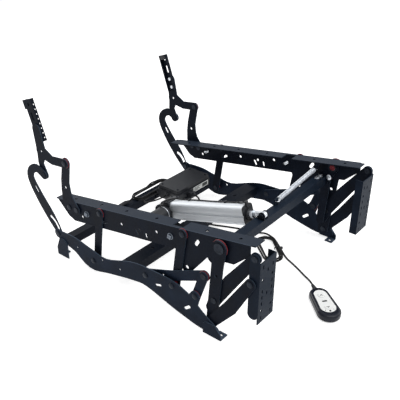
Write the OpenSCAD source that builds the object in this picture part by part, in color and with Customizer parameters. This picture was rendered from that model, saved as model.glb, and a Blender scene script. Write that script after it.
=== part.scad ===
// Powered recliner mechanism: two side linkages, drive tube, linear actuator, handset.
// Front of the seat is -Y, the sitter's right is -X, the floor is Z = 0.

/* [Frame] */
// Distance between the webs of the two seat rails, centre to centre
rail_span = 500; // [460:1:600]
// Thickness of the pressed steel plates
plate_t = 3; // [2.5:0.1:3.5]
// Air between neighbouring plates of a side linkage
layer_gap = 1.8; // [1.7:0.1:2.4]

/* [Pivots] */
// Diameter of the pivot rivets
pin_d = 10; // [8:0.5:11]
// Radial play of a rivet in its bores
pin_fit = 0.05; // [0.03:0.01:0.1]
// Diameter of the rivet heads
head_d = 15; // [13:0.5:15.5]
// Thickness of the rivet heads
head_t = 1.4; // [1:0.1:1.5]
// Diameter of the plastic pivot washers
washer_d = 27; // [25:1:28]

/* [Seat rails] */
// Length of the rail behind the origin
rail_rear = 283; // [270:1:300]
// Length of the rail in front of the origin
rail_fore = 337; // [325:1:345]
// Height of the rail's top above the origin
rail_top = 213; // [208:1:220]
// Slope of the rail, rising to the front
rail_pitch = 9.6; // [9:0.1:10.2]
// Depth of the rail's web
web_h = 56; // [52:1:60]
// Width of the rail's inward top flange
flange_w = 37; // [30:1:42]
// Diameter of the screw holes in the flange
flange_hole_d = 8; // [5:0.5:10]

/* [Swing links] */
// Length of the links that carry the seat
swing_l = 145.7; // [140:0.1:150]
// Forward lean of the swing links at rest
swing_lean = 8.7; // [7:0.1:10]
// Half width of the swing links
swing_r = 12.5; // [12:0.5:14]

/* [Back] */
// Slope of the back channel, leaning to the rear
back_lean = 19; // [15:1:23]
// Length of the back channel
channel_l = 112; // [100:1:125]
// Width of the back channel
channel_w = 28; // [24:1:34]
// Depth of the back channel's flanges
channel_d = 10; // [8:1:14]

/* [Footrest linkage] */
// Length of the front ottoman link between its end pivots
front_link_l = 208.8; // [204:0.1:212]
// Distance of the crossing pivot from the lower end of the front ottoman link
cross_up = 64; // [58:1:70]
// Length of the outer ottoman link's tail behind the crossing pivot
tail_l = 32; // [30:0.5:36]
// Width of one perforated footrest plate
bracket_w = 60; // [50:1:66]
// Height of one perforated footrest plate
bracket_h = 158; // [150:1:164]
// Depth of the footrest plate's side flanges
bracket_d = 27; // [22:1:32]

/* [Base] */
// Side of the square rear tube and the drive tube
tube_w = 25; // [22:1:28]
// Wall of the square tubes
tube_t = 1.5; // [1.2:0.1:2.5]
// Distance of the floor bolts from the origin, to the front and the rear
bolt_y = 272; // [268:1:276]
// Diameter of the floor bolt holes
bolt_d = 8.5; // [6:0.5:10]
// Width of the feet's floor flanges
foot_w = 26; // [22:1:32]

/* [Actuator] */
// Sideways place of the actuator
actuator_x = -54; // [-80:1:-30]
// Height of the aluminium profile
profile_h = 50; // [44:1:54]
// Width of the aluminium profile
profile_w = 40; // [36:1:46]
// Length of the aluminium profile
profile_l = 243; // [230:1:250]
// Diameter of the push rod
rod_d = 20; // [16:0.5:22]
// Diameter of the motor
motor_d = 42; // [36:1:46]
// Length of the motor
motor_l = 118; // [90:1:125]

/* [Handset] */
// Length of the handset
handset_l = 118; // [105:1:130]
// Width of the handset
handset_w = 59; // [55:1:64]
// Height of the handset
handset_h = 21; // [19:0.5:25]
// Diameter of the two buttons
button_d = 17; // [14:0.5:20]
// Diameter of the handset cord
cord_d = 5.4; // [5:0.1:6]

/* [Power supply] */
// Length of the power supply
supply_l = 152; // [130:1:160]
// Width of the power supply
supply_w = 84; // [70:1:90]
// Height of the power supply
supply_h = 40; // [32:1:48]

/* [Spring] */
// Outer diameter of the tension spring
spring_d = 14; // [12:0.5:15]
// Diameter of the spring wire
wire_d = 2.4; // [2:0.1:2.6]
// Number of curls in the spring
curls = 44; // [36:1:46]

/* [Hidden] */
$fn = 48;

steel = "#2a2f37";
steel_light = "#3a414b";
black = "#15171b";
alu = "#c9cbd0";
zinc = "#c3c8cf";
red = "#a8383f";
white = "#f0f2f0";
eps = 0.01;

// Travel of the linkage between rest and fully open
front_swing_deg = 84;
outer_swing_deg = 20;
seat_swing_deg = 18;
back_swing_deg = 25;

// Plates of a side lie in layers, 0 is the rail's web and higher numbers lie further out
layer_pitch = plate_t + layer_gap;
function layer_x(n) = rail_span / 2 - plate_t / 2 + n * layer_pitch;
base_layer = 4;
base_in = layer_x(base_layer);
base_out = base_in + plate_t;
pin_r = pin_d / 2;
bore_r = pin_r + pin_fit;

function turn(v, a) = [v[0] * cos(a) - v[1] * sin(a), v[0] * sin(a) + v[1] * cos(a)];
function polar(r, a) = [r * cos(a), r * sin(a)];
function rail_z(y) = rail_top - y * tan(rail_pitch);
function web_z(y) = rail_z(y) - web_h / cos(rail_pitch);

// Pivots in the side view, as [y, z]
front_top = [-157, rail_z(-157) - 11];
rear_top = [117, rail_z(117) - 13];
swing_v = polar(swing_l, 90 + swing_lean);
front_low = front_top - swing_v;
rear_low = rear_top - swing_v;

drive_at = [-264, rail_z(-264) - 20];
front_link_dir = polar(1, -85.05);
knee_at = drive_at + front_link_l * front_link_dir;
cross_at = knee_at - cross_up * front_link_dir;
ear_at = [-355, 250];
low_ear_at = ear_at + knee_at - cross_at;
tail_at = cross_at + polar(tail_l, 290);

// The rear ottoman link turns about the centre of the tail pivot's path
function tail_path(t) = drive_at + turn(cross_at - drive_at, -front_swing_deg * t)
    + turn(tail_at - cross_at, outer_swing_deg * t);
function centre_of(a, b, c) =
    let (p = b - a, q = c - a, k = 2 * (p[0] * q[1] - p[1] * q[0]))
    a + [(q[1] * (p * p) - p[1] * (q * q)) / k, (p[0] * (q * q) - q[0] * (p * p)) / k];
rear_link_at = centre_of(tail_path(0), tail_path(0.5), tail_path(1));

tube_at = [-236, 195];
clevis_at = [-240, 217];
// The rear pivot lies behind the closed actuator, with the rod's free end named
profile_rear = 56;
profile_front = profile_rear + profile_l;
rod_free = 47.066;
actuator_tilt = atan2(101, 331);
clevis_reach = profile_front + rod_free;
mount_at = clevis_at + clevis_reach * [cos(actuator_tilt), -sin(actuator_tilt)];

back_at = [227, 288];
hook_at = [313, 231];
peg_at = [275, 67];
back_joint = [316, 296];

// Place of the base peg in the slot of the back link, over the travel
function seat_shift(t) = turn(swing_v, seat_swing_deg * t) - swing_v;
function hook_path(t) = back_at + seat_shift(t) + turn(hook_at - back_at, -back_swing_deg * t);
link_swing_deg = 21.39;
function peg_path(t) = hook_at + turn(peg_at - hook_path(t), -link_swing_deg * t);

rear_tube_at = [236, 60];
mid_at = [11, 70];
mid_w = 40;
mid_h = 26;
prop_low = [-205, 88];
prop_top = [-226, 150];
brace_rear = [-50, 76];

// A plate is drawn over its own lower half, which fuses its outline's pieces into one solid
module plate(t) {
    linear_extrude(t) children();
    linear_extrude(t / 2) children();
}

// Side plates and rods
module on_layer(side, n) {
    x = layer_x(n);
    translate([side > 0 ? x : -x - plate_t, 0, 0]) rotate([90, 0, 90]) plate(plate_t) children();
}

module span_x(a, b) {
    translate([a, 0, 0]) rotate([90, 0, 90]) linear_extrude(b - a) children();
}

module side_span(side, a, b) {
    span_x(side > 0 ? a : -b, side > 0 ? b : -a) children();
}

module rod_x(side, p, a, b, r) {
    translate([side > 0 ? a : -b, p[0], p[1]]) rotate([0, 90, 0]) cylinder(h = b - a, r = r);
}

module rivet(side, p, n0, n1) {
    a = layer_x(n0);
    b = layer_x(n1) + plate_t;
    rod_x(side, p, a - head_t, b + head_t, pin_r);
    rod_x(side, p, a - head_t, a - eps, head_d / 2);
    rod_x(side, p, b + eps, b + head_t, head_d / 2);
}

module spacer(side, p, n0, n1, d) {
    difference() {
        rod_x(side, p, layer_x(n0) + plate_t + eps, layer_x(n1) - eps, d / 2);
        rod_x(side, p, layer_x(n0), layer_x(n1) + plate_t, bore_r);
    }
}

// Straight web between two round ends, a hair narrower than its ends
web_inset = 0.985;

module web2d(p, q, r1, r2) {
    d = norm(q - p);
    a = atan2(q[1] - p[1], q[0] - p[0]);
    b = acos((r1 - r2) / d);
    w1 = web_inset * r1;
    w2 = web_inset * r2;
    polygon([p + polar(w1, a + b), q + polar(w2, a + b), q + polar(w2, a - b), p + polar(w1, a - b)]);
}

module bar2d(p, q, r1, r2) {
    translate(p) circle(r1);
    translate(q) circle(r2);
    web2d(p, q, r1, r2);
}

module chain2d(spine) {
    for (k = spine) translate([k[0], k[1]]) circle(k[2]);
    for (i = [0 : len(spine) - 2])
        web2d([spine[i][0], spine[i][1]], [spine[i + 1][0], spine[i + 1][1]], spine[i][2], spine[i + 1][2]);
}

function unit(v) = v / norm(v);

// Curve through hand-chosen points
function blend4(a, b, c, d, t) = 0.5 * (2 * b + (c - a) * t + (2 * a - 5 * b + 4 * c - d) * t * t
    + (3 * b - a - 3 * c + d) * t * t * t);
function smooth(p, n) = let (m = len(p) - 1) concat(
    [for (i = [0 : m - 1], k = [0 : n - 1])
        blend4(p[max(i - 1, 0)], p[i], p[i + 1], p[min(i + 2, m)], k / n)],
    [p[m]]
);

// A strip along a smooth spine of [y, z, half width]
function edge(p, i, side) =
    let (a = p[max(i - 1, 0)], b = p[min(i + 1, len(p) - 1)], d = unit([b[0] - a[0], b[1] - a[1]]))
    [p[i][0] - side * d[1] * p[i][2], p[i][1] + side * d[0] * p[i][2]];

module ribbon2d(spine, n) {
    p = smooth(spine, n);
    last = len(p) - 1;
    polygon(concat([for (i = [0 : last]) edge(p, i, 1)], [for (i = [last : -1 : 0]) edge(p, i, -1)]));
    for (k = [p[0], p[last]]) translate([k[0], k[1]]) circle(0.99 * k[2]);
}

module bore2d(p, r = bore_r) {
    translate(p) circle(r);
}

module slot2d(p, length, a, r) {
    bar2d(p - polar(length / 2, a), p + polar(length / 2, a), r, r);
}

// Base
base_spine = [
    [255, 62, 17], [205, 57, 23], [150, 38, 32], [85, 42, 21], [0, 66, 26],
    [-55, 72, 28], [-150, 58, 39], [-215, 31, 26], [-262, 18, 13]
];

module base_plate(side) {
    color(steel_light) on_layer(side, base_layer) difference() {
        union() {
            ribbon2d(base_spine, 4);
            bar2d([-190, 55], prop_low, 20, 14);
            bar2d([246, 60], peg_at, 12, 14);
        }
        for (p = [rear_low, front_low, brace_rear, prop_low, peg_at]) bore2d(p);
        slot2d([-92, 66], 14, -20, 3.5);
        slot2d([-182, 44], 16, -40, 4);
        for (y = [40, 105, 200]) bore2d([y, 52], 3.2);
    }
}

module base_plate_right() { base_plate(-1); }
module base_plate_left() { base_plate(1); }

foot_t = 3;
foot_x = base_out - plate_t - (foot_w - foot_t - plate_t) / 2;
front_foot_h = 34;
rear_foot_h = 57;
pad_l = 22;
front_leg = 52;
rear_leg = 44;

// A leg on the base plate's outside with a bolt pad turned in under it
module foot(side, end, length, height) {
    y = end * (bolt_y + pad_l / 2);
    in = -end;
    difference() {
        union() {
            side_span(side, base_out, base_out + foot_t)
                polygon([
                    [y, 0], [y + in * length, 0], [y + in * length, height * 0.8],
                    [y + in * (length - height * 0.2), height], [y + in * length / 3, height],
                    [y, height * 0.4]
                ]);
            side_span(side, base_out + foot_t - foot_w, base_out + foot_t)
                translate([min(y, y + in * pad_l), 0]) square([pad_l, foot_t]);
        }
        translate([side * foot_x, end * bolt_y, -1]) cylinder(h = foot_t + 2, d = bolt_d);
    }
}

module base_feet() {
    color(steel) for (side = [-1, 1]) {
        foot(side, -1, front_leg, front_foot_h);
        foot(side, 1, rear_leg, rear_foot_h);
    }
}

module square_tube(at, half) {
    span_x(-half, half) translate(at) difference() {
        square(tube_w, center = true);
        square(tube_w - 2 * tube_t, center = true);
    }
}

module base_rear_tube() { color(steel) square_tube(rear_tube_at, base_in); }

module base_mid_channel() {
    color(steel) difference() {
        span_x(-base_in, base_in) translate(mid_at) difference() {
            square([mid_w, mid_h], center = true);
            translate([0, -plate_t]) square([mid_w - 2 * plate_t, mid_h], center = true);
        }
        for (x = [-180, -120, 120, 180])
            translate([x, mid_at[0], mid_at[1]]) cylinder(h = mid_h, d = 9);
    }
}

module brace_links() {
    color(steel_light) for (side = [-1, 1]) on_layer(side, 2) difference() {
        chain2d([[prop_top[0], prop_top[1], 13], [-134, 108, 13], [brace_rear[0], brace_rear[1], 13]]);
        bore2d(prop_top);
        bore2d(brace_rear);
        bore2d([-100, 95], 3);
    }
}

module prop_links() {
    color(steel_light) for (side = [-1, 1]) on_layer(side, 3) difference() {
        bar2d(prop_top, prop_low, 12, 12);
        bore2d(prop_top);
        bore2d(prop_low);
    }
}

spacer_d = 15;

module base_rivets() {
    color(zinc) for (side = [-1, 1]) {
        rivet(side, rear_low, 1, base_layer);
        rivet(side, front_low, 1, base_layer);
        rivet(side, brace_rear, 2, base_layer);
        rivet(side, prop_top, 2, 3);
        rivet(side, prop_low, 3, base_layer);
        rivet(side, peg_at, 3, base_layer);
    }
}

module washer(side, p, n) {
    gap = layer_gap / 10;
    a = layer_x(n) + plate_t + gap;
    difference() {
        rod_x(side, p, a, a + layer_gap - 2 * gap, washer_d / 2);
        rod_x(side, p, a - 1, a + layer_gap + 1, bore_r);
    }
}

module base_washers() {
    color(red) for (side = [-1, 1]) {
        spacer(side, rear_low, 1, base_layer, spacer_d);
        spacer(side, front_low, 1, base_layer, spacer_d);
        spacer(side, brace_rear, 2, base_layer, spacer_d);
        washer(side, prop_top, 2);
        washer(side, prop_low, 3);
    }
}

// Seat frame
gusset_at = [-167, 142];
notch_front = -150;
notch_rear = -118;
notch_keep = 9;
flange_holes = [-300, -210, -60, 40, 130, 230];

module flange(side) {
    inner = layer_x(0) + plate_t - flange_w;
    kept = layer_x(0) + plate_t - notch_keep;
    outer = layer_x(0) - eps;
    y = [rail_rear + 10, notch_rear, notch_front, -rail_fore - 10] / cos(rail_pitch);
    translate([0, 0, rail_z(0)]) rotate([-rail_pitch, 0, 0])
        translate([0, 0, -plate_t]) linear_extrude(plate_t)
        polygon([
            for (k = [
                [outer, y[0]], [inner, y[0]], [inner, y[1]], [kept, y[1]],
                [kept, y[2]], [inner, y[2]], [inner, y[3]], [outer, y[3]]
            ]) [side * k[0], k[1]]
        ]);
}

module rail_web2d() {
    nose = 26;
    difference() {
        union() {
            polygon([
                [rail_rear, rail_z(rail_rear)], [-rail_fore, rail_z(-rail_fore)],
                [-rail_fore, rail_z(-rail_fore) - nose], [-rail_fore + 40, web_z(-rail_fore + 40)],
                [rail_rear - 62, web_z(rail_rear - 62)], [rail_rear - 40, web_z(rail_rear - 40) + 12]
            ]);
            polygon([
                [-231, web_z(-231) + 6], gusset_at + [-12, -8], gusset_at + [12, -8],
                [-133, web_z(-133) + 6]
            ]);
            translate(gusset_at) circle(17);
            bar2d(drive_at, rear_link_at, 17, 15);
        }
        for (p = [front_top, rear_top, rear_link_at, post_foot, post_fore]) bore2d(p);
        bore2d(drive_at, hub_r + pin_fit);
        bore2d(gusset_at, 5);
        for (h = [[189, 18], [43, 27], [-19, 24], [-74, 31]]) bore2d([h[0], web_z(h[0]) + h[1]], 4);
        slot2d([102, web_z(102) + 20], 16, 150, 3.5);
        slot2d([-11, web_z(-11) + 15], 10, 60, 3.5);
        slot2d([-40, web_z(-40) + 14], 9, 75, 3);
        slot2d([-196, web_z(-196) + 30], 12, 120, 4.5);
    }
}

module seat_rail(side) {
    color(steel) on_layer(side, 0) rail_web2d();
}

module seat_flange(side) {
    color(steel) difference() {
        union() {
            flange(side);
            if (side > 0) spring_lug();
        }
        if (side > 0) hole_y(spring_far + hook_shift * spring_dir, hook_hole_r);
        for (y = flange_holes)
            translate([side * (layer_x(0) + plate_t - flange_w / 2), y, rail_z(y)])
                rotate([-rail_pitch, 0, 0]) cylinder(h = 6 * plate_t, d = flange_hole_d, center = true);
    }
}

module seat_rail_right() { seat_rail(-1); }
module seat_rail_left() { seat_rail(1); }
module seat_flange_right() { seat_flange(-1); }
module seat_flange_left() { seat_flange(1); }

// Lug under the left rail's flange that holds the tension spring
spring_stud = [-224, 231];
spring_lug_x = layer_x(0) + plate_t - flange_w + 1.5;

module spring_lug() {
    translate([spring_lug_x, spring_stud[0] - plate_t / 2, spring_stud[1] - 9])
        cube([18, plate_t, rail_z(spring_stud[0]) - spring_stud[1] + 9 - plate_t / 2]);
}

post_foot = [232, 158];
post_fore = [206, rail_z(206) - 20];

module back_post(side) {
    color(steel) on_layer(side, 1) difference() {
        union() {
            chain2d([
                [back_at[0], back_at[1], 14], [238, 232, 15], [238, 203, 18], [234, 178, 22],
                [post_foot[0], post_foot[1], 17]
            ]);
            bar2d([236, 196], post_fore, 14, 13);
        }
        bore2d(back_at);
        bore2d(post_foot);
        bore2d(post_fore);
        bore2d([239, 214], 4);
    }
}

module back_post_right() { back_post(-1); }
module back_post_left() { back_post(1); }

module seat_rivets() {
    color(zinc) for (side = [-1, 1]) {
        rivet(side, front_top, 0, 1);
        rivet(side, rear_top, 0, 1);
        rivet(side, back_at, 1, 2);
        rivet(side, post_foot, 0, 1);
        rivet(side, post_fore, 0, 1);
        rivet(side, rear_link_at, -1, 0);
    }
}

module seat_washers() {
    color(red) for (side = [-1, 1]) {
        washer(side, front_top, 0);
        washer(side, rear_top, 0);
        washer(side, back_at, 1);
        washer(side, rear_link_at, -1);
    }
}

module swing_link(side, top, low) {
    color(steel) on_layer(side, 1) difference() {
        bar2d(top, low, swing_r, swing_r);
        bore2d(top);
        bore2d(low);
    }
}

module rear_swing_right() { swing_link(-1, rear_top, rear_low); }
module rear_swing_left() { swing_link(1, rear_top, rear_low); }
module front_swing_right() { swing_link(-1, front_top, front_low); }
module front_swing_left() { swing_link(1, front_top, front_low); }

// Back
channel_foot = back_joint + [-2, 27];

function up_back(d) = channel_foot + polar(d, 90 - back_lean);

module back_plate(side) {
    color(steel) on_layer(side, 2) difference() {
        union() {
            chain2d([[back_at[0], back_at[1], 12.4], [276, 282, 12], [back_joint[0], back_joint[1], 19]]);
            bar2d(back_joint + [0, 2], up_back(channel_l * 0.3), 18, 15);
            chain2d([[back_joint[0], back_joint[1], 17], [324, 262, 10], [hook_at[0], hook_at[1], 13]]);
        }
        bore2d(back_at);
        bore2d(hook_at);
        bore2d(back_joint, 3.5);
    }
}

module back_plate_right() { back_plate(-1); }
module back_plate_left() { back_plate(1); }

channel_t = 2.5;
channel_hole_d = 8;
punch_n = 9;
punch_d = 4;

module channel2d(t, over) {
    translate(channel_foot) rotate(-back_lean)
        translate([t - channel_w / 2, -over]) square([channel_w - 2 * t, channel_l + 2 * over]);
}

module back_channel(side) {
    outer = layer_x(2);
    inner = outer - channel_d;
    color(steel) difference() {
        union() {
            side_span(side, inner, outer) channel2d(0, 0);
            side_span(side, outer - channel_t, outer)
                translate(channel_foot) rotate(-back_lean)
                    translate([0, channel_l - 24]) square([channel_w / 2 + 7, 24]);
        }
        side_span(side, inner - 1, outer - channel_t) channel2d(channel_t, 1);
        rod_x(side, up_back(channel_l * 0.88), outer - channel_t - 1, outer + 1, channel_hole_d / 2);
        side_span(side, outer - channel_t - 1, outer + 1)
            slot2d(up_back(channel_l * 0.6), 16, 90 - back_lean, 3.5);
        for (i = [0 : punch_n - 1]) {
            p = up_back(channel_l * (i + 0.7) / punch_n) - polar(channel_w / 2, -back_lean);
            translate([side * (inner + channel_d * 0.38), p[0], p[1]]) rotate([-90 - back_lean, 0, 0])
                cylinder(h = 4 * channel_t, d = punch_d, center = true);
        }
    }
}

module back_channel_right() { back_channel(-1); }
module back_channel_left() { back_channel(1); }

peg_play = 0.4;
link_spine = [
    [peg_at[0] - 2, peg_at[1] - 3.5, 11], [304, 106, 18], [345, 158, 17], [371, 202, 14],
    [365, 229, 12], [340, 242, 12], [hook_at[0], hook_at[1], 13]
];

module back_link(side) {
    color(steel) {
        on_layer(side, 3) difference() {
            ribbon2d(link_spine, 4);
            ribbon2d([for (i = [0 : 8]) concat(peg_path(i / 8), [pin_r + peg_play])], 1);
            slot2d([352, 176], 14, 58, 3.5);
        }
        rod_x(side, hook_at, layer_x(2) - head_t, layer_x(3) + plate_t + head_t, pin_r);
        rod_x(side, hook_at, layer_x(2) - head_t, layer_x(2) - 0.2, head_d / 2);
        rod_x(side, hook_at, layer_x(3) + plate_t - eps, layer_x(3) + plate_t + head_t, head_d / 2);
    }
}

module back_link_right() { back_link(-1); }
module back_link_left() { back_link(1); }

// Drive and footrest linkage
hub_r = 9;
crank_layer = -2;
tube_half = layer_x(crank_layer);

module hole_y(p, r) {
    translate(p) rotate([90, 0, 0]) cylinder(h = 4 * plate_t, r = r, center = true);
}

module drive_tube() {
    color(steel_light) difference() {
        union() {
            square_tube(tube_at, tube_half);
            translate([spring_tab_x - 8, spring_near[1] - plate_t / 2, tube_at[1] + tube_w / 2 - eps])
                cube([16, plate_t, 18]);
        }
        hole_y(spring_near - hook_shift * spring_dir, hook_hole_r);
    }
}

module drive_cranks() {
    color(steel) for (side = [-1, 1]) on_layer(side, crank_layer) difference() {
        bar2d(drive_at, tube_at, 16, 20);
        bore2d(drive_at, hub_r + pin_fit);
    }
}

module front_ottoman(side) {
    color(steel) on_layer(side, 2) difference() {
        union() {
            bar2d(drive_at, drive_at + 40 * front_link_dir, 19, 16);
            bar2d(drive_at + 30 * front_link_dir, knee_at, 16, 15);
        }
        bore2d(drive_at, hub_r + pin_fit);
        bore2d(cross_at);
        bore2d(knee_at);
        bore2d(drive_at + 75 * front_link_dir, 4);
    }
}

module front_ottoman_right() { front_ottoman(-1); }
module front_ottoman_left() { front_ottoman(1); }

module drive_hub(side) {
    a = layer_x(crank_layer);
    b = layer_x(2) + plate_t;
    rod_x(side, drive_at, a - head_t, b + head_t, hub_r);
    rod_x(side, drive_at, a - head_t, a - eps, hub_r + 4);
    rod_x(side, drive_at, b + eps, b + head_t, hub_r + 4);
    rod_x(side, drive_at, a + plate_t + eps, layer_x(0) - 0.3, hub_r + 3);
    rod_x(side, drive_at, layer_x(0) + plate_t + 0.3, layer_x(2) - eps, hub_r + 3);
}

module drive_rivets() {
    color(zinc) for (side = [-1, 1]) {
        drive_hub(side);
        rivet(side, cross_at, 1, 2);
        rivet(side, knee_at, 2, 3);
    }
}

eye_w = 10;
cheek_gap = 0.6;

module rod_bracket() {
    a = eye_w / 2 + cheek_gap;
    low = tube_at + [0, tube_w / 2];
    color(steel) for (s = [-1, 1])
        span_x(actuator_x + (s > 0 ? a : -a - plate_t), actuator_x + (s > 0 ? a + plate_t : -a))
        difference() {
            union() {
                translate(clevis_at) circle(9);
                polygon([clevis_at + [-9, 0], [low[0] - tube_w / 2, low[1]], [low[0] + tube_w / 2, low[1]],
                    clevis_at + [9, 0]]);
            }
            bore2d(clevis_at, 4.05);
        }
}

tail_play = 2.9;
tail_pin_r = 4;

module rear_ottoman_links() {
    color(steel) for (side = [-1, 1]) {
        on_layer(side, -1) difference() {
            bar2d(rear_link_at, tail_at, 13, 11);
            bore2d(rear_link_at);
        }
        rod_x(side, tail_at, layer_x(-1) + plate_t - eps, layer_x(1) + plate_t, tail_pin_r);
    }
}

module outer_ottoman(side) {
    color(steel) on_layer(side, 1) difference() {
        chain2d([
            [tail_at[0], tail_at[1], 14], [cross_at[0], cross_at[1], 16], [-292, 160, 17],
            [ear_at[0], ear_at[1], 13]
        ]);
        bore2d(tail_at, tail_pin_r + tail_play);
        bore2d(cross_at);
        bore2d(ear_at);
    }
}

module outer_ottoman_right() { outer_ottoman(-1); }
module outer_ottoman_left() { outer_ottoman(1); }

module upper_ottoman(side) {
    color(steel) on_layer(side, 3) difference() {
        chain2d([[knee_at[0], knee_at[1], 14], [-300, 100, 17], [low_ear_at[0], low_ear_at[1], 13]]);
        bore2d(knee_at);
        bore2d(low_ear_at);
    }
}

module upper_ottoman_right() { upper_ottoman(-1); }
module upper_ottoman_left() { upper_ottoman(1); }

bracket_front = ear_at[0] - 15;
bracket_low = 86;
bracket_t = 2.5;
bracket_out = layer_x(2) + plate_t;
bracket_slots = [
    [-1, 8], [1, 8], [-1, 54], [1, 46], [-1, 72], [1, 62], [-1, 90], [1, 78],
    [-1, 132], [1, 140], [0, 66], [0, 126]
];
bracket_hole_d = 7;
bracket_mid_x = bracket_out - bracket_w / 2;
screw_rows = [bracket_low + 32, bracket_low + 112];
screw_dx = 36;

module footrest_bracket(side) {
    color(steel_light) difference() {
        union() {
            side_span(side, bracket_out - bracket_w, bracket_out)
                translate([bracket_front, bracket_low]) square([bracket_t, bracket_h]);
            side_span(side, bracket_out - plate_t, bracket_out) union() {
                translate([bracket_front, bracket_low + 22]) square([bracket_d, bracket_h - 22]);
                bar2d([bracket_front + 12, bracket_low + bracket_h - 30], ear_at, 12, 12);
                translate(low_ear_at) circle(12);
                translate([bracket_front + 14, bracket_low + 22]) circle(13);
            }
            side_span(side, bracket_out - bracket_w, bracket_out - bracket_w + bracket_t)
                translate([bracket_front, bracket_low]) square([bracket_d * 0.75, bracket_h]);
        }
        for (p = [ear_at, low_ear_at]) rod_x(side, p, bracket_out - plate_t - 1, bracket_out + 1, bore_r);
        for (z = screw_rows, x = [-1, 1])
            translate([side * bracket_mid_x + x * screw_dx / 2, bracket_front - 1, z])
                rotate([-90, 0, 0]) cylinder(h = bracket_t + 2, d = bracket_hole_d);
        for (k = bracket_slots) {
            x = bracket_mid_x + k[0] * screw_dx / 2;
            side_span(side, x - 2, x + 2)
                translate([bracket_front - 1, bracket_low + k[1]]) square([bracket_t + 2, 9]);
        }
    }
}

module footrest_bracket_right() { footrest_bracket(-1); }
module footrest_bracket_left() { footrest_bracket(1); }

module footrest_rivets() {
    color(zinc) for (side = [-1, 1]) {
        rivet(side, ear_at, 1, 2);
        rivet(side, low_ear_at, 2, 3);
    }
}

// Actuator, built along its own axis with the rear pivot at the origin
module along_actuator() {
    translate([actuator_x, mount_at[0], mount_at[1]]) rotate([90 - actuator_tilt, 0, 0]) children();
}

lug_w = 18;
lug_r = 13;
mount_pin_r = 5;

module profile2d() {
    r = 9;
    groove = 5;
    difference() {
        union() {
            square([profile_w - 2 * r, profile_h], center = true);
            square([profile_w, profile_h - 2 * r], center = true);
            for (x = [-1, 1], y = [-1, 1])
                translate([x * (profile_w / 2 - r), y * (profile_h / 2 - r)]) circle(r);
        }
        for (x = [-1, 1]) translate([x * profile_w / 2, 0]) square([5, groove], center = true);
    }
}

module actuator_profile() {
    color(alu) along_actuator() translate([0, 0, profile_rear]) linear_extrude(profile_l) difference() {
        profile2d();
        circle(rod_d / 2 + 1);
    }
}

cap_l = 9;

module actuator_end_cap() {
    color(black) along_actuator() translate([0, 0, profile_front]) difference() {
        union() {
            cylinder(h = cap_l, r = rod_d / 2 + 5);
            linear_extrude(3) profile2d();
            translate([-4, profile_h / 2 - 6, 0]) cube([8, 15, 6]);
        }
        translate([0, 0, -1]) cylinder(h = cap_l + 2, r = rod_d / 2 + pin_fit);
    }
}

gearbox_w = profile_w + 6;
gearbox_h = profile_h + 6;
gearbox_l = 28;

module actuator_gearbox() {
    color(black) along_actuator() difference() {
        union() {
            translate([-gearbox_w / 2, -gearbox_h / 2, profile_rear - gearbox_l])
                cube([gearbox_w, gearbox_h, gearbox_l - eps]);
            rotate([0, 90, 0]) cylinder(h = lug_w, r = lug_r, center = true);
            translate([-lug_w / 2, -lug_r, 0]) cube([lug_w, 2 * lug_r, profile_rear - gearbox_l + 1]);
        }
        rotate([0, 90, 0]) cylinder(h = gearbox_w, r = mount_pin_r + pin_fit, center = true);
    }
}

motor_along = profile_rear - gearbox_l / 2;

module actuator_motor() {
    color(black) along_actuator() translate([-gearbox_w / 2 - eps, 0, motor_along]) rotate([0, -90, 0]) {
        cylinder(h = 14, r = motor_d / 2 - 3);
        translate([0, 0, 10]) cylinder(h = motor_l - 18, r = motor_d / 2);
        translate([0, 0, motor_l - 10]) cylinder(h = 10, r = motor_d / 2 - 4);
    }
}

module actuator_rod() {
    inside = 110;
    neck_l = 28;
    start = profile_front - inside;
    color(zinc) along_actuator() difference() {
        union() {
            translate([0, 0, start]) cylinder(h = clevis_reach - start - neck_l, r = rod_d / 2);
            translate([0, 0, clevis_reach]) rotate([0, 90, 0]) cylinder(h = eye_w, r = 8, center = true);
            translate([-eye_w / 2, -3, clevis_reach - neck_l - 2]) cube([eye_w, 10, neck_l + 2]);
        }
        translate([0, 0, clevis_reach]) rotate([0, 90, 0]) cylinder(h = 2 * eye_w, r = 4.05, center = true);
    }
}

// Two cheeks behind the mid channel hold the actuator's rear pivot
cheek_x = lug_w / 2 + 0.4;

module actuator_mount() {
    y0 = mid_at[0] + mid_w / 2;
    z0 = mid_at[1] - mid_h / 2;
    color(steel) {
        for (s = [-1, 1])
            side_span(s, s * actuator_x + cheek_x, s * actuator_x + cheek_x + plate_t) difference() {
                union() {
                    polygon([
                        [y0 + plate_t - eps, z0 + 3], [y0 + plate_t - eps, z0 + mid_h - 1],
                        [y0 + 40, z0 + mid_h + 2],
                        [mount_at[0] - 12, mount_at[1]], [mount_at[0] + 12, mount_at[1]],
                        [mount_at[0] + 12, z0 + mid_h + 6], [mount_at[0] - 4, z0 + 12], [y0 + 30, z0 + 3]
                    ]);
                    translate(mount_at) circle(12);
                }
                bore2d(mount_at, mount_pin_r + pin_fit);
            }
        translate([actuator_x - 26, y0, z0 + 1]) cube([52, plate_t, mid_h - 2]);
    }
    color(zinc) {
        rod_x(1, mount_at, actuator_x - cheek_x - plate_t - 2.5,
            actuator_x + cheek_x + plate_t + 2.5, mount_pin_r);
        rod_x(1, mount_at, actuator_x - cheek_x - plate_t - 2.5, actuator_x - cheek_x - plate_t + eps, 8);
        rod_x(1, mount_at, actuator_x + cheek_x + plate_t - eps, actuator_x + cheek_x + plate_t + 2.5, 8);
    }
}

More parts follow.
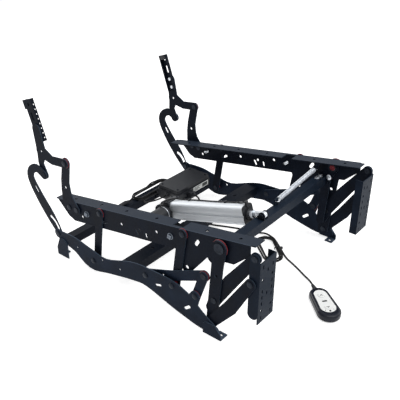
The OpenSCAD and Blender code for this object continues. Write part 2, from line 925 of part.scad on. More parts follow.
// Swept tubes for the cords and the spring
function tangents(path) = [
    for (i = [0 : len(path) - 1]) unit(path[min(i + 1, len(path) - 1)] - path[max(i - 1, 0)])
];
function level(n, t) = unit(n - (n * t) * t);
function normals(ts) = [
    for (i = 0, n = level(cross(ts[0], [0.3, 0.5, 0.8]), ts[0]); i < len(ts);
        i = i + 1, n = level(n, ts[min(i, len(ts) - 1)])) n
];

module tube(path, d, sides) {
    ts = tangents(path);
    ns = normals(ts);
    last = len(path) - 1;
    points = [
        for (i = [0 : last], k = [0 : sides - 1])
            path[i] + d / 2 * (cos(360 * k / sides) * ns[i] + sin(360 * k / sides) * cross(ts[i], ns[i]))
    ];
    caps = [
        for (k = [1 : sides - 2]) each [
            [0, k, k + 1],
            [last * sides, last * sides + k + 1, last * sides + k]
        ]
    ];
    walls = [
        for (i = [0 : last - 1], k = [0 : sides - 1])
            let (a = i * sides + k, b = i * sides + (k + 1) % sides)
                each [[a, b + sides, b], [a, a + sides, b + sides]]
    ];
    polyhedron(points, concat(caps, walls));
}

// Least air between the turns of a wound tube, measured along its centre line
function to_segment(p, a, b) =
    let (v = b - a, t = max(0, min(1, ((p - a) * v) / (v * v)))) norm(p - a - t * v);
function self_gap(path, d, skip) = min([
    for (i = [0 : len(path) - skip - 2], j = [i + skip : len(path) - 2])
        to_segment(path[i], path[j], path[j + 1])
]) - d;

// A hank spirals in on its lower layer and out again on its upper layer
function oval(u, s, r) =
    u < 0.2 ? [-s + 10 * s * u, -r]
    : u < 0.5 ? [s, 0] + polar(r, 600 * (u - 0.2) - 90)
    : u < 0.7 ? [s - 10 * s * (u - 0.5), r]
    : [-s, 0] + polar(r, 600 * (u - 0.7) + 90);
function hank(turns, upto, s, r, pitch, rise, d) = [
    for (i = [0 : 24 * upto])
        let (w = i / 24, c = oval(w - floor(w), s, r - pitch * min(w, 2 * turns - w)))
            [c[0], c[1], d / 2 + rise * max(0, min(1, 2 * (w - turns) + 0.5))]
];
function placed(path, at, a) = [for (p = path) let (q = turn([p[0], p[1]], a)) at + [q[0], q[1], p[2]]];

// Power supply on its tray in front of the rear tube
supply_x = 128;
supply_y = 122;
tray_t = 3;
tray_z = 66;
supply_z = tray_z + tray_t;
tube_front = rear_tube_at[0] - tube_w / 2;

module rounded2d(w, h, r) {
    square([w - 2 * r, h], center = true);
    square([w, h - 2 * r], center = true);
    for (x = [-1, 1], y = [-1, 1]) translate([x * (w / 2 - r), y * (h / 2 - r)]) circle(r);
}

module power_tray() {
    w = supply_l * 0.86;
    color(steel) {
        translate([supply_x - w / 2, supply_y - 4, tray_z]) cube([w, tube_front - supply_y + 4, tray_t]);
        translate([supply_x - w / 2, supply_y - 4, tray_z]) cube([w, 2.5, 12]);
        translate([supply_x - w / 2, tube_front - 2.5, tray_z - 14]) cube([w, 2.5, 16]);
    }
}

gland_at = [supply_y + supply_w / 2, 88];
gland_l = 10;

module power_supply() {
    color(black) {
        translate([supply_x, supply_y + supply_w / 2, supply_z]) {
            linear_extrude(supply_h * 0.7) rounded2d(supply_l, supply_w, 8);
            linear_extrude(supply_h) rounded2d(supply_l - 5, supply_w - 5, 7);
        }
        translate([supply_x - supply_l / 2 - gland_l, gland_at[0], gland_at[1]])
            rotate([0, 90, 0]) cylinder(h = gland_l + 4, r = 4.4);
    }
}

lead_d = 4.6;
hank_at = [60, 238, rear_tube_at[1] + tube_w / 2 + 0.1];
power_points = [
    [30, 164, 88], [12, 168, 87], [-4, 178, 84.5], [-12, 192, 81], [-8, 205, 77], [0, 211.5, 75.2]
];
power_end = [
    [98, 259, 82.2], [82, 257, 84.8], [62, 251, 86], [40, 244, 86], [18, 240, 86], [0, 238, 86], [-12, 238, 85.6],
    [-20, 238, 82.6], [-28, 238, 79.2], [-38, 238, 78.4]
];
power_spiral = placed(hank(2, 3.5, 52, 25.4, 5.8, 5.2, lead_d), hank_at, 0);
power_loops = concat(power_spiral, power_end);
power_way = concat([[supply_x - supply_l / 2 - gland_l - eps, gland_at[0], gland_at[1]]], power_points,
    [power_spiral[0] - [eps, 0, 0]]);

module power_lead() { color(black) tube(smooth(power_way, 3), lead_d, 8); }

module power_hank() {
    color(black) tube(power_loops, lead_d, 6);
    echo(power_hank_gap = self_gap(power_loops, lead_d, 8));
}

module power_plug() {
    end = power_end[len(power_end) - 1];
    color(black) translate(end - [eps, 0, 0]) rotate([0, -90, 0]) {
        cylinder(h = 10, r = 4);
        translate([0, 0, 8]) cylinder(h = 26, r = 5.7);
    }
}

// Handset on the floor, built along its length from the cord's end
handset_at = [17, -362];
handset_turn = -129.9;
face_t = 1.6;
button_lift = 1.2;
button_x = [36, 82];
relief_l = 11;
relief_z = 9.5;
handset_r = [handset_w / 2 - 4, handset_w / 2];

module on_handset() {
    translate([handset_at[0], handset_at[1], 0]) rotate([0, 0, handset_turn]) children();
}

module puck(r, h, round) {
    rotate_extrude($fn = 32) hull() {
        square([1, h]);
        translate([r - round, round]) circle(round, $fn = 16);
        translate([r - round, h - round]) circle(round, $fn = 16);
    }
}

module face2d(grow) {
    bar2d([31, 0], [handset_l - 37, 0], handset_w * 0.28 + grow, handset_w * 0.33 + grow);
}

module handset_shell() {
    color(black) on_handset() difference() {
        union() {
            hull() {
                translate([handset_r[0], 0, 0]) puck(handset_r[0], handset_h, 7);
                translate([handset_l - handset_r[1], 0, 0]) puck(handset_r[1], handset_h, 7);
            }
            translate([-relief_l, 0, relief_z]) rotate([0, 90, 0]) cylinder(h = relief_l + 6, r = 4.2);
        }
        translate([0, 0, handset_h - face_t]) linear_extrude(face_t + 1) face2d(0.15);
        for (x = button_x) translate([x, 0, handset_h - 9]) cylinder(h = 10, d = button_d + 0.8);
    }
}

module handset_face() {
    color(white) on_handset() translate([0, 0, handset_h - face_t + eps]) plate(face_t) difference() {
        face2d(0);
        for (x = button_x) translate([x, 0]) circle(d = button_d + 0.8);
    }
}

module button(x) {
    color(white) on_handset() translate([x, 0, handset_h - 6]) {
        cylinder(h = 6 + button_lift - 0.5, d = button_d);
        cylinder(h = 6 + button_lift, d = button_d - 2);
    }
}

module button_recline() { button(button_x[0]); }
module button_upright() { button(button_x[1]); }

floor_z = 0.2;
bundle_at = [108, -164, floor_z];
bundle = placed(hank(2, 3.25, 34, 32, 6.8, 6.1, cord_d), bundle_at, 50);
cord_z = floor_z + cord_d / 2;
cord_points = [
    [36, -340, 9], [49, -323, 6.5], [62, -302, 3.4], [76, -277, 2.9], [88, -252, 2.9], [99, -228, 2.9]
];
relief_end = polar(-relief_l, handset_turn);
cord_way = concat(
    [[handset_at[0] + relief_end[0], handset_at[1] + relief_end[1], relief_z]],
    cord_points, [bundle[0] - eps * [cos(50), sin(50), 0]]
);
plug_at = [100, supply_y, 88];
plug_l = 24;
lead_points = [
    [161, -126, 9], [162.5, -112, 7.8], [160.5, -95, 4.2], [156, -76, 2.9],
    [145, -40, 2.9], [129, 0, 2.9], [114, 32, 2.9],
    [107, 50, 4.4], [103, 64, 14], [101, 72, 32], [100, 75, 54], [100, 79, 74], [100, 87, 85]
];
bundle_end = bundle[len(bundle) - 1];
bundle_dir = unit(bundle_end - bundle[len(bundle) - 2]);
lead_way = concat(
    [bundle_end + eps * bundle_dir, bundle_end + 6 * bundle_dir], lead_points,
    [plug_at - [0, plug_l + eps, 0]]
);

module handset_cord() {
    color(black) for (way = [cord_way, lead_way]) tube(smooth(way, 2), cord_d, 8);
}

module handset_hank() {
    color(black) tube(bundle, cord_d, 6);
    echo(handset_hank_gap = self_gap(bundle, cord_d, 8));
}

module handset_plug() {
    color(black) translate(plug_at) rotate([90, 0, 0]) {
        translate([-9, -7, eps]) cube([18, 14, plug_l - 6]);
        cylinder(h = plug_l, r = 4.5);
    }
}

// Tension spring from the drive tube to the left rail
spring_tab_x = 20;
hook_hole_r = 4;
hook_shift = hook_hole_r - wire_d / 2 - 0.25;
spring_near = [spring_tab_x, tube_at[0] + 8, tube_at[1] + tube_w / 2 + 9.5];
spring_far = [spring_lug_x + 7.5, spring_stud[0], spring_stud[1]];
spring_l = norm(spring_far - spring_near);
spring_dir = (spring_far - spring_near) / spring_l;
spring_side = level([0, 1, 0], spring_dir);
spring_up = cross(spring_dir, spring_side);
coil_r = (spring_d - wire_d) / 2;
coil_from = 2 * coil_r + 1.5;
coil_to = spring_l - coil_from;
function on_spring(z, r, a) = spring_near + z * spring_dir + r * (cos(a) * spring_side + sin(a) * spring_up);
spring_path = concat(
    [for (a = [-120 : 30 : 90]) on_spring(coil_r - coil_r * cos(a), coil_r * sin(a), 0)],
    [for (i = [0 : 8 * curls])
        on_spring(coil_from + (coil_to - coil_from) * i / (8 * curls), coil_r, 45 * i)],
    [for (a = [90 : -30 : -120]) on_spring(spring_l - coil_r + coil_r * cos(a), coil_r * sin(a), 0)]
);

module tension_spring() {
    color(zinc) tube(spring_path, wire_d, 6);
    echo(spring_gap = self_gap(spring_path, wire_d, 6));
}

base_plate_right();
base_plate_left();
base_feet();
base_rear_tube();
base_mid_channel();
brace_links();
prop_links();
base_rivets();
base_washers();
actuator_mount();
power_tray();
power_supply();
power_lead();
power_hank();
power_plug();
handset_shell();
handset_face();
handset_cord();
handset_hank();
handset_plug();
button_recline();
button_upright();
rear_swing_right();
rear_swing_left();
front_swing_right();
front_swing_left();
seat_rail_right();
seat_rail_left();
seat_flange_right();
seat_flange_left();
back_post_right();
back_post_left();
seat_rivets();
seat_washers();
back_plate_right();
back_plate_left();
back_channel_right();
back_channel_left();
back_link_right();
back_link_left();
drive_tube();
drive_cranks();
front_ottoman_right();
front_ottoman_left();
drive_rivets();
rod_bracket();
rear_ottoman_links();
outer_ottoman_right();
outer_ottoman_left();
upper_ottoman_right();
upper_ottoman_left();
footrest_bracket_right();
footrest_bracket_left();
footrest_rivets();
actuator_profile();
actuator_gearbox();
actuator_motor();
actuator_end_cap();
actuator_rod();
tension_spring();
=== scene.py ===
# %% [markdown]
# # A powered recliner base, dressed in Blender
#
# The steel linkages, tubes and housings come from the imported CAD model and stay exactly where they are.
# This lesson adds what a solid model lacks: the cords as they lie, the wound spring, bolts, clips, caps
# and the finishes of the real surfaces. Blender works in metres here, in the frame of the CAD model.

import math

import bmesh
import bpy
from mathutils import Matrix, Vector


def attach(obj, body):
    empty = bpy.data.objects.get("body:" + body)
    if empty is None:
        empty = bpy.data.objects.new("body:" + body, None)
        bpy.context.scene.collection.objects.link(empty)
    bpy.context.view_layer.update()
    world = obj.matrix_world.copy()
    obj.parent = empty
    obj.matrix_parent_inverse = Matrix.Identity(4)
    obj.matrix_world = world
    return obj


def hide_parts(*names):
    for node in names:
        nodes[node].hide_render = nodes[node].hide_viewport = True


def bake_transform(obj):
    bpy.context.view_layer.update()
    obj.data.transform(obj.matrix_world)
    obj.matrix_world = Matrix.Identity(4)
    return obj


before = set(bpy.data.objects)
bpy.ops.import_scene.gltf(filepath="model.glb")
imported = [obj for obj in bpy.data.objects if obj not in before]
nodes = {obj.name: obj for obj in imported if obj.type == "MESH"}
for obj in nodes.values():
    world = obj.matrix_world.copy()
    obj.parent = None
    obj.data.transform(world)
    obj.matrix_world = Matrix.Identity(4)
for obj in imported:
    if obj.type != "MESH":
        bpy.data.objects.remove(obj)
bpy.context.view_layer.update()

# %% [markdown]
# ## The camera
#
# The photograph was taken from in front of the right-hand side, a little above seat height. The camera
# could be aimed with a constraint, but its three axes were measured from the rails and tubes in the
# picture, so they are written down as a matrix, and the lens follows from the same measurement.

# %% Camera
RIGHT = Vector((0.62848, -0.77783, 0.0))
DOWN = Vector((-0.37956, -0.30668, -0.87286))
AHEAD = Vector((0.67893, 0.54857, -0.48798))
EYE = (-1.1221, -0.9085, 0.957)
LENS = 54.93
SENSOR = 36.0

camera_data = bpy.data.cameras.new("camera")
camera_data.lens = LENS
camera_data.sensor_width = SENSOR
camera = bpy.data.objects.new("camera", camera_data)
bpy.context.scene.collection.objects.link(camera)
camera_axes = Matrix((RIGHT, -DOWN, -AHEAD)).transposed().to_4x4()
camera.matrix_world = Matrix.Translation(EYE) @ camera_axes
bpy.context.scene.camera = camera
print("camera looks along", [round(v, 3) for v in AHEAD])

# %% [markdown]
# ## Node and colour helpers
#
# Colours are written as the sRGB hex values one would pick from the picture, and one function makes them
# linear. Another small function adds a shader node, sets its fields and joins its inputs, which keeps each
# material to a few readable lines. All the finishes start alike: a noise at the grain's real size moves the
# colour between two tones and the roughness between two values. The nodes have names, so that each finish
# can go on from there.

# %% Helpers for materials


def tint(code):
    parts = [int(code[i:i + 2], 16) / 255 for i in (1, 3, 5)]
    linear = [c / 12.92 if c <= 0.04045 else ((c + 0.055) / 1.055) ** 2.4 for c in parts]
    return (*linear, 1.0)


def feed(tree, node, inputs):
    for key, value in inputs.items():
        if isinstance(value, bpy.types.NodeSocket):
            tree.links.new(value, node.inputs[key])
        else:
            node.inputs[key].default_value = value


def add(tree, kind, inputs=None, **fields):
    made = tree.nodes.new(kind)
    for field, value in fields.items():
        setattr(made, field, value)
    feed(tree, made, inputs or {})
    return made


def grained(name, size, detail, tones, rough):
    material = bpy.data.materials.new(name)
    material.use_nodes = True
    tree = material.node_tree
    tree.nodes.clear()
    place = add(tree, "ShaderNodeTexCoord", name="place")
    noise = {"Vector": place.outputs["Object"], "Scale": 1 / size, "Detail": detail}
    grain = add(tree, "ShaderNodeTexNoise", noise, name="grain").outputs["Fac"]
    ramp = add(tree, "ShaderNodeValToRGB", {"Fac": grain}, name="tones")
    for stop, position, code in zip(ramp.color_ramp.elements, (0.3, 0.7), tones):
        stop.position = position
        stop.color = tint(code)
    limits = {"Value": grain, "To Min": rough[0], "To Max": rough[1]}
    dullness = add(tree, "ShaderNodeMapRange", limits).outputs["Result"]
    skin = {"Base Color": ramp.outputs["Color"], "Roughness": dullness}
    surface = add(tree, "ShaderNodeBsdfPrincipled", skin, name="surface")
    add(tree, "ShaderNodeOutputMaterial", {"Surface": surface.outputs["BSDF"]})
    return material


print("the grey #808080 is", round(tint("#808080")[0], 3), "in linear light")

# %% [markdown]
# ## Steel and zinc
#
# The frame is pressed mild steel with a blue-black powder coat: a soft sheen, faint clouds where the coat
# is thicker and an orange-peel skin. A plate's sheared edges face away from the X axis, so the surface's own
# direction tells edge from face, and the edges get a paler colour there: a painted highlight. The orange
# peel is drawn at 1.6 mm, twice its real size, because anything finer vanishes in the picture. Bolts and
# spring are bright zinc, studs are dull and rivets black.

# %% Steel and zinc
CLOUD = 0.04
PEEL = 0.0016
SPANGLE = 0.006


def powder_coat(name, first, second, edge):
    # baked polyester powder on steel: an even satin skin with cloudy patches about 40 mm wide; the sheared
    # edges of a plate face away from the X axis and get the paler edge colour, a painted highlight
    material = grained(name, CLOUD, 3.0, (first, second), (0.4, 0.54))
    tree = material.node_tree
    place = tree.nodes["place"]
    noise = {"Vector": place.outputs["Object"], "Scale": 1 / PEEL, "Detail": 2.0}
    peel = add(tree, "ShaderNodeTexNoise", noise).outputs["Fac"]
    bump = add(tree, "ShaderNodeBump", {"Height": peel, "Strength": 0.25, "Distance": 0.0003})
    # faces turned away from the X axis, the plate edges, take the edge colour: a painted highlight
    facing = add(tree, "ShaderNodeSeparateXYZ", {"Vector": place.outputs["Normal"]})
    edge_highlight_mask = add(tree, "ShaderNodeMath", {0: facing.outputs["X"]}, operation="ABSOLUTE").outputs[0]
    painted_edge_highlight = {0: edge_highlight_mask, 6: tint(edge), 7: tree.nodes["tones"].outputs["Color"]}
    skin = add(tree, "ShaderNodeMix", painted_edge_highlight, data_type="RGBA").outputs[2]
    feed(tree, tree.nodes["surface"], {"Base Color": skin, "Normal": bump.outputs["Normal"],
                                       "IOR": 1.5, "Specular IOR Level": 0.06})
    return material


def plated_zinc(name, first, second, rough):
    # electroplated zinc: a metal with spangled patches of about 6 mm, pale unless it is passivated dark
    material = grained(name, SPANGLE, 4.0, (first, second), (rough - 0.06, rough + 0.1))
    feed(material.node_tree, material.node_tree.nodes["surface"], {"Metallic": 1.0})
    return material


# the tube and plate coats have paler tones, painted light, and the flange, link and plate coats paler edges,
# a painted highlight
frame_coat = powder_coat("powder_coated_steel", "#0b101a", "#121926", "#101620")
flange_coat_edge_highlight = powder_coat("powder_coat_flange_edge_highlight", "#0b101a", "#121926", "#272f3b")
tube_coat_painted_light = powder_coat("powder_coat_tube_painted_light", "#111925", "#1a2433", "#16202d")
link_coat_edge_highlight = powder_coat("powder_coat_link_edge_highlight", "#0b101a", "#121926", "#333d4a")
plate_coat_painted_light = powder_coat("powder_coat_plate_painted_light", "#131c2a", "#1e293a", "#424e5e")
zinc = plated_zinc("bright_zinc_plate", "#c0c4cc", "#dde2e6", rough=0.3)
dull_zinc = plated_zinc("dull_zinc_plate", "#5b616a", "#7b828c", rough=0.38)
black_zinc = plated_zinc("black_zinc_rivet", "#1d2026", "#2e333b", rough=0.44)
print("materials so far, with those of the CAD model:", len(bpy.data.materials))

# %% [markdown]
# ## Drawn aluminium
#
# The actuator's body is an extruded aluminium profile, and the die leaves fine lines along it. A noise
# becomes lines when its space is stretched along the profile, so a Mapping node turns the pattern to the
# actuator's slope. That slope is found from its pivot at the back and the eye of its rod in front.

# %% Drawn aluminium


def mm(x, y, z):
    return Vector((x, y, z)) / 1000


PIVOT = mm(-54, 91, 116)
ROD_EYE = mm(-54, -240, 217)
AXIS = (ROD_EYE - PIVOT).normalized()
TILT = math.asin(AXIS.z)
DIE_APART = 0.002
DIE_LONG = 0.25


def drawn_aluminium(name, first, second):
    # an extruded profile: a dull pale metal with die lines about 2 mm apart and over a hundred times as long;
    # the stretch gives the lines their size, so the noise itself keeps a size of 1
    material = grained(name, 1.0, 3.0, (first, second), (0.56, 0.68))
    tree = material.node_tree
    stretch = {"Vector": tree.nodes["place"].outputs["Object"], "Rotation": (-TILT, 0.0, 0.0),
               "Scale": (DIE_APART, DIE_LONG, DIE_APART)}
    along = add(tree, "ShaderNodeMapping", stretch, vector_type="TEXTURE")
    lines = tree.nodes["grain"]
    feed(tree, lines, {"Vector": along.outputs["Vector"]})
    bump = add(tree, "ShaderNodeBump", {"Height": lines.outputs["Fac"], "Strength": 0.1, "Distance": 0.0004})
    feed(tree, tree.nodes["surface"], {"Normal": bump.outputs["Normal"], "Metallic": 1.0})
    return material


aluminium = drawn_aluminium("drawn_aluminium", "#c3c7cc", "#dadde0")
print("aluminium lines follow a slope of", round(math.degrees(TILT), 1), "degrees")

# %% [markdown]
# ## Plastics and cord
#
# Housings are ABS with the spark grain of their mould, the handset's shell is polished and its face is glossy
# white. Washers are red acetal, cords are soft PVC, and the print and the films are thin even coats. One
# function does for all of these, because they differ only in tone, grain, depth and shine.

# %% Plastics and cord


def moulded(name, first, second, rough, grain, depth, shine=0.35):
    # moulded or printed plastic: an even colour, broken only by a fine grain that dulls the highlights
    material = grained(name, grain, 3.0, (first, second), (rough - 0.06, rough + 0.08))
    tree = material.node_tree
    spark = tree.nodes["grain"].outputs["Fac"]
    bump = add(tree, "ShaderNodeBump", {"Height": spark, "Strength": 0.2, "Distance": depth})
    feed(tree, tree.nodes["surface"], {"Normal": bump.outputs["Normal"], "IOR": 1.52,
                                       "Specular IOR Level": shine})
    return material


black_abs = moulded("textured_black_abs", "#17191d", "#202329", rough=0.48, grain=0.0012, depth=0.0002)
shell_abs = moulded("polished_dark_abs", "#12151f", "#1a1e2b", rough=0.24, grain=0.004, depth=0.00005,
                    shine=0.2)
white_abs = moulded("gloss_white_abs", "#f8f9f8", "#fcfdfc", rough=0.3, grain=0.005, depth=0.00004)
grey_print = moulded("grey_pad_print", "#303433", "#3d4240", rough=0.45, grain=0.004, depth=0.00004)
window_film = moulded("dark_window_film", "#060708", "#0b0c0e", rough=0.5, grain=0.004, depth=0.00002,
                      shine=0.05)
label_film = moulded("white_label_film", "#dfe2e0", "#eceeec", rough=0.6, grain=0.002, depth=0.00002,
                     shine=0.1)
red_acetal = moulded("red_acetal", "#6e1f27", "#83282f", rough=0.42, grain=0.003, depth=0.0001)
cord_pvc = moulded("black_pvc_cord", "#08090b", "#101215", rough=0.34, grain=0.002, depth=0.00015, shine=0.18)
print("materials in all, with those of the CAD model:", len(bpy.data.materials))

# %% [markdown]
# ## Lines for the cords
#
# A cord follows the points of its CAD solids. Blender's smooth curves bend past their control points, so a
# small function works out a line that goes through each of them, and a poly curve with a round bevel
# follows that line closely.

# %% Helpers for lines


def millimetres(rows):
    return [mm(*row) for row in rows]


def through(points, steps):
    made = []
    last = len(points) - 1
    for i in range(last):
        a, b, c, d = (points[max(i - 1, 0)], points[i], points[i + 1], points[min(i + 2, last)])
        for k in range(steps):
            t = k / steps
            made.append(0.5 * (2 * b + (c - a) * t + (2 * a - 5 * b + 4 * c - d) * t ** 2
                               + (3 * b - a - 3 * c + d) * t ** 3))
    made.append(points[last])
    return made


def line_length(points):
    return sum((b - a).length for a, b in zip(points, points[1:]))


def line_curve(name, points, radius, sides):
    data = bpy.data.curves.new(name, "CURVE")
    data.dimensions = "3D"
    data.bevel_depth = radius
    data.bevel_resolution = sides
    data.use_fill_caps = True
    spline = data.splines.new("POLY")
    spline.points.add(len(points) - 1)
    for spot, point in zip(spline.points, points):
        spot.co = (*point, 1.0)
    line = bpy.data.objects.new(name, data)
    bpy.context.scene.collection.objects.link(line)
    return line


corner = millimetres([(0, 0, 0), (10, 0, 0), (10, 10, 0)])
print("a smooth line round two sides of 10 mm is", round(line_length(through(corner, steps=3)), 4), "m long")

# %% [markdown]
# ## The handset's cord
#
# The handset lies on the floor in front of the frame. Its black PVC cord, 5.4 mm thick, runs back to a flat
# hank, is wound there in two layers, and goes on under the frame up to its plug on the power supply. The
# points are those of the CAD solids, in millimetres, and a smooth line through all of them gives one
# unbroken cord.

# %% Hank winding
TURN_SPOTS = 24


def oval(u, half, radius):
    # once round a flat loop as u goes from 0 to 1: a side, a round end, the other side, the other end
    if u < 0.2:
        return (-half + 10 * half * u, -radius)
    if u < 0.5:
        a = math.radians(600 * (u - 0.2) - 90)
        return (half + radius * math.cos(a), radius * math.sin(a))
    if u < 0.7:
        return (half - 10 * half * (u - 0.5), radius)
    a = math.radians(600 * (u - 0.7) + 90)
    return (-half + radius * math.cos(a), radius * math.sin(a))


def hank(turns, upto, half, radius, pitch, rise, thick, centre, angle):
    # loops that wind inwards for some turns, then step up by the rise and wind outwards on top
    c, s = math.cos(math.radians(angle)), math.sin(math.radians(angle))
    made = []
    for i in range(int(TURN_SPOTS * upto) + 1):
        w = i / TURN_SPOTS
        x, y = oval(w - math.floor(w), half, radius - pitch * min(w, 2 * turns - w))
        z = thick / 2 + rise * max(0.0, min(1.0, 2 * (w - turns) + 0.5))
        made.append((centre[0] + c * x - s * y, centre[1] + s * x + c * y, centre[2] + z))
    return made


print("each turn of a hank has", TURN_SPOTS, "points")

# %% Handset cord's line
CORD = 5.4
HANDSET_AT = (17, -362)
HANDSET_TURN = math.radians(-129.9)
RELIEF = 11
HANK_AT = (108, -164)
HANK_TURN = 50

relief_end = (HANDSET_AT[0] - RELIEF * math.cos(HANDSET_TURN),
              HANDSET_AT[1] - RELIEF * math.sin(HANDSET_TURN), 9.5)
floor_run = [(36, -340, 9), (49, -323, 6.5), (62, -302, 3.4), (76, -277, 2.9), (88, -252, 2.9),
             (99, -228, 2.9)]
bundle = hank(turns=2, upto=3.25, half=34, radius=32, pitch=6.8, rise=6.1, thick=CORD, centre=(*HANK_AT, 0.2),
              angle=HANK_TURN)
under_run = [(161, -126, 9), (162.5, -112, 7.8), (160.5, -95, 4.2), (156, -76, 2.9), (145, -40, 2.9),
             (129, 0, 2.9), (114, 32, 2.9), (107, 50, 4.4), (103, 64, 14), (101, 72, 32), (100, 75, 54),
             (100, 79, 74), (100, 87, 85), (100, 98, 88)]
handset_line = through(millimetres([relief_end] + floor_run + bundle + under_run), steps=3)
print("handset cord is", round(line_length(handset_line), 3), "m long")

# %% Handset cord
handset_cord = line_curve("handset_flex", handset_line, radius=CORD / 2000, sides=3)
handset_cord.data.materials.append(cord_pvc)
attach(handset_cord, "base")
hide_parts("handset_cord", "handset_hank")
print("handset cord has", len(handset_line), "points")

# %% [markdown]
# ## The power lead
#
# The power supply's own lead is thinner, 4.6 mm. It leaves the housing sideways, turns back onto the rear
# tube and lies there as a hank, with its end laid over the loops and its plug resting on the tube.

# %% Power lead
LEAD = 4.6
lead_out = [(42, 164, 88), (30, 164, 88), (12, 168, 87), (-4, 178, 84.5), (-12, 192, 81), (-8, 205, 77),
            (0, 211.5, 75.2)]
lead_loops = hank(turns=2, upto=3.5, half=52, radius=25.4, pitch=5.8, rise=5.2, thick=LEAD,
                  centre=(60, 238, 72.6), angle=0)
lead_end = [(98, 259, 82.2), (82, 257, 84.8), (62, 251, 86), (40, 244, 86), (18, 240, 86), (0, 238, 86),
            (-12, 238, 85.6), (-20, 238, 82.6), (-28, 238, 79.2), (-38, 238, 78.4)]
lead_line = through(millimetres(lead_out + lead_loops + lead_end), steps=3)
power_lead = line_curve("power_flex", lead_line, radius=LEAD / 2000, sides=3)
power_lead.data.materials.append(cord_pvc)
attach(power_lead, "base")
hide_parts("power_lead", "power_hank")
print("power lead is", round(line_length(lead_line), 3), "m long")

# %% [markdown]
# ## Finishes on the CAD pieces
#
# The solids already have the right shape, so they only get their finish, found by how a node's name starts.
# Pieces that catch more light in the picture get a paler copy of the coat, which is painted light: the
# plates, the drive tube and the footrest brackets have paler tones, and plates, flanges and links have paler
# edges, a painted highlight. Each hardware node has its plating. What isn't listed has the plain coat of the
# frame.

# %% Dress the CAD nodes
# the paler tube and plate coats and the paler edges of the flange, link and plate coats are painted light
FINISHES = {
    plate_coat_painted_light: ("base_plate", "base_feet", "brace_links", "prop_links"),
    flange_coat_edge_highlight: ("seat_flange",),
    tube_coat_painted_light: ("drive_tube", "footrest_bracket"),
    link_coat_edge_highlight: ("seat_rail", "back_post", "back_plate", "back_link", "rear_swing", "front_swing",
                "drive_crank", "front_ottoman", "rear_ottoman", "outer_ottoman", "upper_ottoman"),
    shell_abs: ("handset_shell",),
    white_abs: ("handset_face", "button_recline", "button_upright"),
    aluminium: ("actuator_profile",),
    zinc: ("actuator_rod", "tension_spring"),
    black_zinc: ("base_rivets", "seat_rivets", "drive_rivets", "footrest_rivets"),
    red_acetal: ("base_washers", "seat_washers"),
    black_abs: ("power_supply", "power_plug", "handset_plug", "actuator_gearbox", "actuator_motor",
                "actuator_end_cap"),
    cord_pvc: ("power_lead", "power_hank", "handset_cord", "handset_hank"),
}
for name, thing in nodes.items():
    finish = next((finish for finish, starts in FINISHES.items() if name.startswith(starts)), frame_coat)
    thing.data.materials.clear()
    thing.data.materials.append(finish)
print("dressed", len(nodes), "nodes")

# %% [markdown]
# ## The tension spring
#
# A close-wound zinc spring pulls the drive tube back towards the left rail. A screw modifier could wind it,
# but its hooks turn out of the coil, so a line is worked out for hook, coil and hook, and a tube follows it.
# Its near end sits at the drive tube and its far end on the rail.

# %% Spring's line
spring_near = mm(20, -228, 217)
spring_far = mm(223.5, -224, 231)
spring_axis = (spring_far - spring_near).normalized()
spring_side = (Vector((0, 1, 0)) - spring_axis.y * spring_axis).normalized()
spring_up = spring_axis.cross(spring_side)
SPRING_LENGTH = (spring_far - spring_near).length
COIL = 0.0058
WIRE = 0.0012
CURLS = 44
CURL_SPOTS = 16
HOOK_GAP = 0.0015


def on_spring(along, radius, angle):
    a = math.radians(angle)
    return spring_near + along * spring_axis + radius * (math.cos(a) * spring_side + math.sin(a) * spring_up)


def hook(middle, way, angles):
    turns = [math.radians(angle) for angle in angles]
    return [on_spring(middle + way * COIL * math.cos(a), COIL * math.sin(a), 0) for a in turns]


coil_from = 2 * COIL + HOOK_GAP
coil_step = (SPRING_LENGTH - 2 * coil_from) / (CURL_SPOTS * CURLS)
coil = [on_spring(coil_from + coil_step * i, COIL, 360 / CURL_SPOTS * i)
        for i in range(CURL_SPOTS * CURLS + 1)]
near_hook = hook(COIL, -1, range(-120, 91, 15))
far_hook = hook(SPRING_LENGTH - COIL, 1, range(90, -121, -15))
print("spring is", round(SPRING_LENGTH, 4), "m long")

# %% Wind the spring


def tube_mesh(name, points, radius, sides):
    source = line_curve(name + "_line", points, radius, sides)
    bpy.context.view_layer.update()
    evaluated = source.evaluated_get(bpy.context.evaluated_depsgraph_get())
    mesh = bpy.data.meshes.new_from_object(evaluated)
    bpy.data.objects.remove(source)
    mesh.shade_smooth()
    return mesh


spring_mesh = tube_mesh("spring_wire", near_hook + coil + far_hook, radius=WIRE, sides=1)
spring = bpy.data.objects.new("spring_wire", spring_mesh)
bpy.context.scene.collection.objects.link(spring)
spring.data.materials.clear()
spring.data.materials.append(zinc)
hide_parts("tension_spring")
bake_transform(spring)
print("spring has", len(spring.data.polygons), "faces")

# %% [markdown]
# ## Turned hardware
#
# Rivet heads, screws, pins and strain reliefs are all turned shapes, so one function spins a half profile
# round an axis. A cylinder with bevels would do for a pin, but a spun profile also gives domes and ribs.
# A finished piece is a mesh object at the origin whose vertices hold its place, so a material on Object
# coordinates sits still.

# %% Finish a piece
SHARP = math.radians(35)


def put(mesh, name, material, body):
    piece = bpy.data.objects.new(name, mesh)
    bpy.context.scene.collection.objects.link(piece)
    piece.data.materials.clear()
    piece.data.materials.append(material)
    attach(piece, body)


def from_bmesh(bm, name, material, body, smooth=True):
    bmesh.ops.remove_doubles(bm, verts=bm.verts, dist=1e-6)
    bmesh.ops.recalc_face_normals(bm, faces=bm.faces)
    mesh = bpy.data.meshes.new(name)
    bm.to_mesh(mesh)
    bm.free()
    if smooth:
        mesh.shade_smooth()
        mesh.set_sharp_from_angle(angle=SHARP)
    put(mesh, name, material, body)


print("edges stay sharp from", round(math.degrees(SHARP)), "degrees")

# %% Spin a profile
SPIN_STEPS = 28


